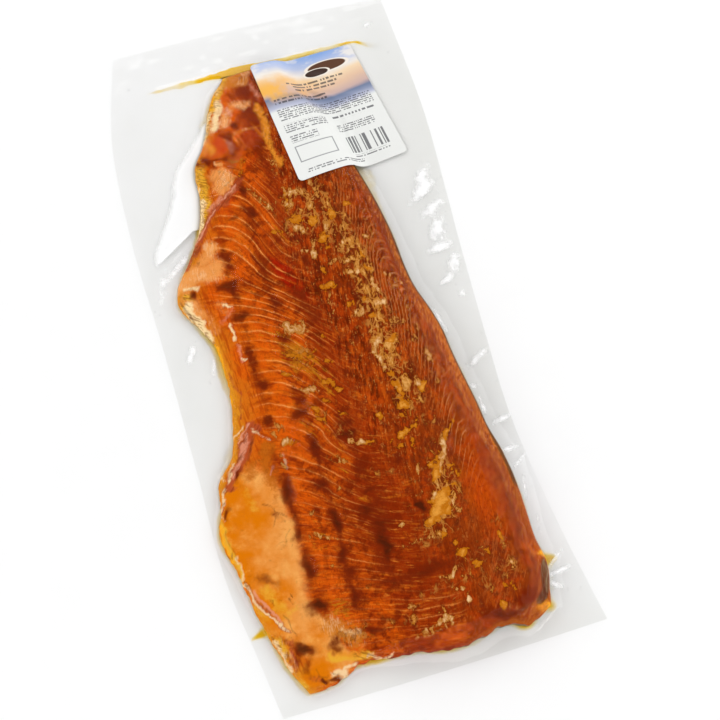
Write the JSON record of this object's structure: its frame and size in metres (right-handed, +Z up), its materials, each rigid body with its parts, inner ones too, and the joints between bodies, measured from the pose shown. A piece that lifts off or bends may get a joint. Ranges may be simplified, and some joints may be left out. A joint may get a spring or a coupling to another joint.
{
  "type": "vacuum pack of hot smoked trout fillet",
  "caption": "Long fillet of hot smoked trout sealed in a clear flat vacuum pouch, with a paper label over the tail, lying cut side up.",
  "frame": {"origin": "middle of the pouch's flat underside, at the centre of the bounding box's bottom", "axes": "+Y along the fish towards the tail and the pouch's header, +X towards the thick back of the fillet, +Z up"},
  "size_m": [0.2258, 0.4828, 0.0241],
  "materials": {
    "vacuum_pouch": "glossy clear film over orange-brown smoked flesh",
    "label": null
  },
  "bodies": {
    "root": {"vacuum_pouch": "vacuum_pouch", "label": "label"}
  },
  "joints": []
}
